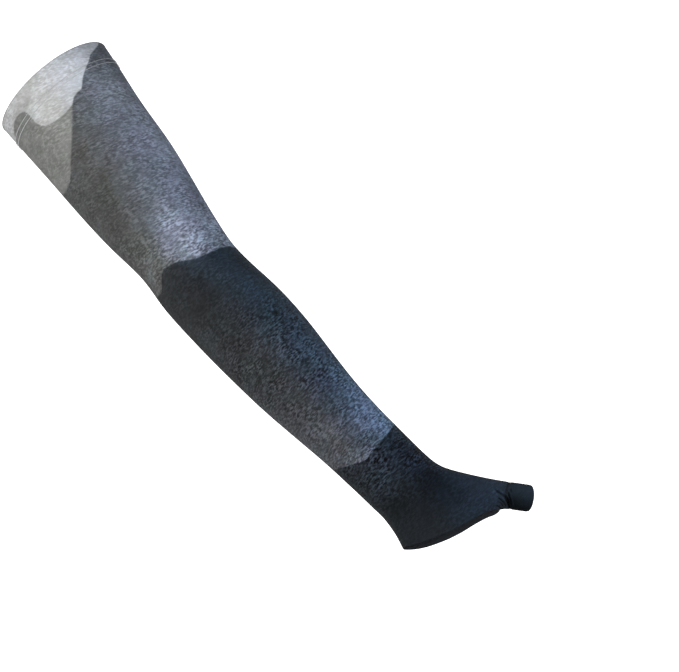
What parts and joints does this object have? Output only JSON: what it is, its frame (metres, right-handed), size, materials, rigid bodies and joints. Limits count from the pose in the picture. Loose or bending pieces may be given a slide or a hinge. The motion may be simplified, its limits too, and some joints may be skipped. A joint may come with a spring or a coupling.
{
  "type": "arm sleeve",
  "caption": "Stretch knit arm sleeve from the upper arm to the hand, with a turned hem above and a thumb stall below.",
  "frame": {"origin": "middle of the upper opening, on the arm's axis", "axes": "+X along the arm to the hand, +Y to the side of the thumb, +Z out of the back of the hand"},
  "size_m": [0.5241, 0.132, 0.095],
  "materials": {
    "printed_knit": "matte stretch knit, printed with heather blocks",
    "hem_knit": "matte stretch knit, pale side of the print",
    "stall_knit": "matte stretch knit, near black"
  },
  "bodies": {
    "root": {"arm_tube": "printed_knit", "bicep_hem": "hem_knit", "thumb_stall": "stall_knit"}
  },
  "joints": []
}
